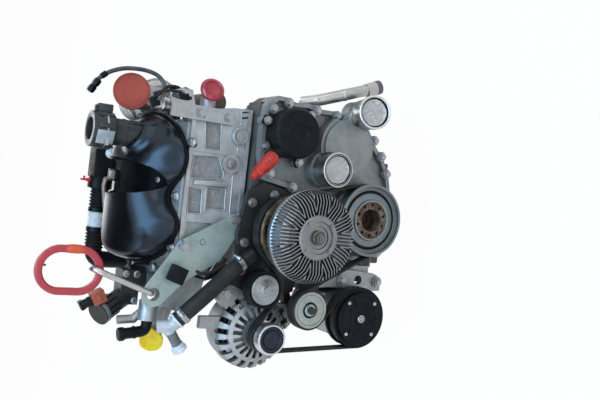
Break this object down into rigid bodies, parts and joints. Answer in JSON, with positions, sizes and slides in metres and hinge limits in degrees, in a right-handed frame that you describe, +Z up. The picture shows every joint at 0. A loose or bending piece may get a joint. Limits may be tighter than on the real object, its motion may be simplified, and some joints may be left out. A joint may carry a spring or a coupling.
{
  "type": "truck engine",
  "caption": "Inline diesel engine of a van or light truck with front belt drive, viscous fan clutch, alternator, compressor and lifting gear.",
  "frame": {"origin": "centre of the flywheel housing's rear face, on the crankshaft axis", "axes": "+Y out of the rear face towards the gearbox, +Z up, +X to the engine's left as seen from behind"},
  "size_m": [0.6373, 0.717, 0.888],
  "materials": {
    "block_iron": "satin",
    "gasket_steel": "satin",
    "cast_aluminium": "cast",
    "bright_aluminium": "machined",
    "black_paint": "satin",
    "machined_steel": "machined",
    "rusty_steel": "rusted",
    "gold_zinc": "satin",
    "zinc_steel": "satin",
    "green_zinc": "satin",
    "cast_iron": "rough",
    "copper_winding": "varnished",
    "black_rubber": "matte",
    "black_plastic": "matte",
    "gloss_black_plastic": "semi-gloss",
    "cream_plastic": "matte",
    "orange_plastic": "matte",
    "cap_plastic": "matte",
    "red_paint": "satin",
    "white_paint": "gloss"
  },
  "bodies": {
    "engine": {"cylinder_block": "block_iron", "head_gasket": "gasket_steel", "cylinder_head": "cast_aluminium", "rocker_cover": "cast_aluminium", "oil_pan": "black_paint", "timing_cover": "cast_aluminium", "flywheel_housing": "cast_aluminium", "water_pump_housing": "black_paint", "accessory_bracket": "black_paint", "compressor_bracket": "cast_aluminium", "compressor_body": "cast_aluminium", "alternator_front_housing": "cast_aluminium", "alternator_stator": "copper_winding", "alternator_rear_housing": "cast_aluminium", "idler_cap": "zinc_steel", "tensioner_base": "black_paint", "ribbed_belt": "black_rubber", "oil_separator": "black_plastic", "separator_plug": "orange_plastic", "coolant_inlet": "black_plastic", "coolant_outlet": "cast_aluminium", "side_pipe": "zinc_steel", "port_caps": "cap_plastic", "intake_plenum": "gloss_black_plastic", "pressure_sensor": "black_plastic", "intake_duct": "black_plastic", "corrugated_duct": "black_plastic", "egr_valve": "black_paint", "intake_manifold": "cast_aluminium", "exhaust_manifold": "cast_iron", "turbocharger": "cast_iron", "turbo_cap": "orange_plastic", "vent_hose": "black_rubber", "coolant_hose": "black_rubber", "hose_clamps": "zinc_steel", "port_elbow": "black_plastic", "front_lifting_bracket": "green_zinc", "side_lifting_bracket": "zinc_steel", "bolts_and_plugs": "zinc_steel", "engine_mounts": "black_paint", "starter_motor": "black_paint", "oil_filter": "white_paint"},
    "crank": {"crankshaft": "machined_steel", "flywheel": "machined_steel", "damper_hub": "rusty_steel", "damper_rubber": "black_rubber", "damper_ring": "machined_steel"},
    "fan_pulley": {"fan_pulley": "black_paint", "fan_drive_plate": "gold_zinc"},
    "fan_clutch": {"fan_clutch": "bright_aluminium", "clutch_thermostat": "rusty_steel"},
    "alternator_rotor": {"alternator_rotor": "machined_steel", "alternator_pulley": "zinc_steel"},
    "compressor_pulley": {"compressor_pulley": "black_paint"},
    "compressor_plate": {"compressor_clutch_plate": "black_paint"},
    "idler_pulley": {"idler_pulley": "black_plastic"},
    "tensioner_arm": {"tensioner_arm": "black_paint"},
    "tensioner_pulley": {"tensioner_pulley": "cream_plastic"},
    "lifting_rod": {"lifting_rod": "machined_steel"},
    "lifting_ring": {"lifting_ring": "red_paint"}
  },
  "joints": [
    {"name": "crank_spin", "type": "hinge", "parent": "engine", "child": "crank", "pos_m": [0, -0.595, 0], "axis": [0, -1, 0], "continuous": true},
    {"name": "fan_pulley_spin", "type": "hinge", "parent": "engine", "child": "fan_pulley", "pos_m": [-0.041, -0.595, 0.188], "axis": [0, -1, 0], "continuous": true},
    {"name": "fan_clutch_spin", "type": "hinge", "parent": "fan_pulley", "child": "fan_clutch", "pos_m": [-0.041, -0.67, 0.188], "axis": [0, -1, 0], "continuous": true},
    {"name": "alternator_spin", "type": "hinge", "parent": "engine", "child": "alternator_rotor", "pos_m": [-0.251, -0.595, 0.217], "axis": [0, -1, 0], "continuous": true},
    {"name": "compressor_pulley_spin", "type": "hinge", "parent": "engine", "child": "compressor_pulley", "pos_m": [-0.209, -0.595, 0.001], "axis": [0, -1, 0], "continuous": true},
    {"name": "compressor_plate_spin", "type": "hinge", "parent": "engine", "child": "compressor_plate", "pos_m": [-0.209, -0.61, 0.001], "axis": [0, -1, 0], "continuous": true},
    {"name": "idler_spin", "type": "hinge", "parent": "engine", "child": "idler_pulley", "pos_m": [-0.157, -0.6, 0.233], "axis": [0, -1, 0], "continuous": true},
    {"name": "tensioner_swing", "type": "hinge", "parent": "engine", "child": "tensioner_arm", "pos_m": [-0.128, -0.575, 0.104], "axis": [0, -1, 0], "range_deg": [-3, 8], "stiffness_Nm_per_rad": 60, "deforming": ["ribbed_belt"]},
    {"name": "tensioner_pulley_spin", "type": "hinge", "parent": "tensioner_arm", "child": "tensioner_pulley", "pos_m": [-0.195, -0.595, 0.123], "axis": [0, -1, 0], "continuous": true},
    {"name": "rod_swing", "type": "hinge", "parent": "engine", "child": "lifting_rod", "pos_m": [-0.18011, -0.54666, 0.44323], "axis": [0, -1, 0], "range_deg": [-30, 30]},
    {"name": "ring_swing", "type": "hinge", "parent": "lifting_rod", "child": "lifting_ring", "pos_m": [-0.142, -0.56, 0.5485], "axis": [1, 0, 0], "range_deg": [-80, 80]}
  ],
  "couplings": [
    {"joint": "fan_pulley_spin", "follows": "crank_spin", "ratio": 1.0143},
    {"joint": "alternator_spin", "follows": "crank_spin", "ratio": 2.5357},
    {"joint": "compressor_pulley_spin", "follows": "crank_spin", "ratio": 1.1833},
    {"joint": "idler_spin", "follows": "crank_spin", "ratio": -1.9189},
    {"joint": "tensioner_pulley_spin", "follows": "crank_spin", "ratio": -1.9189}
  ]
}
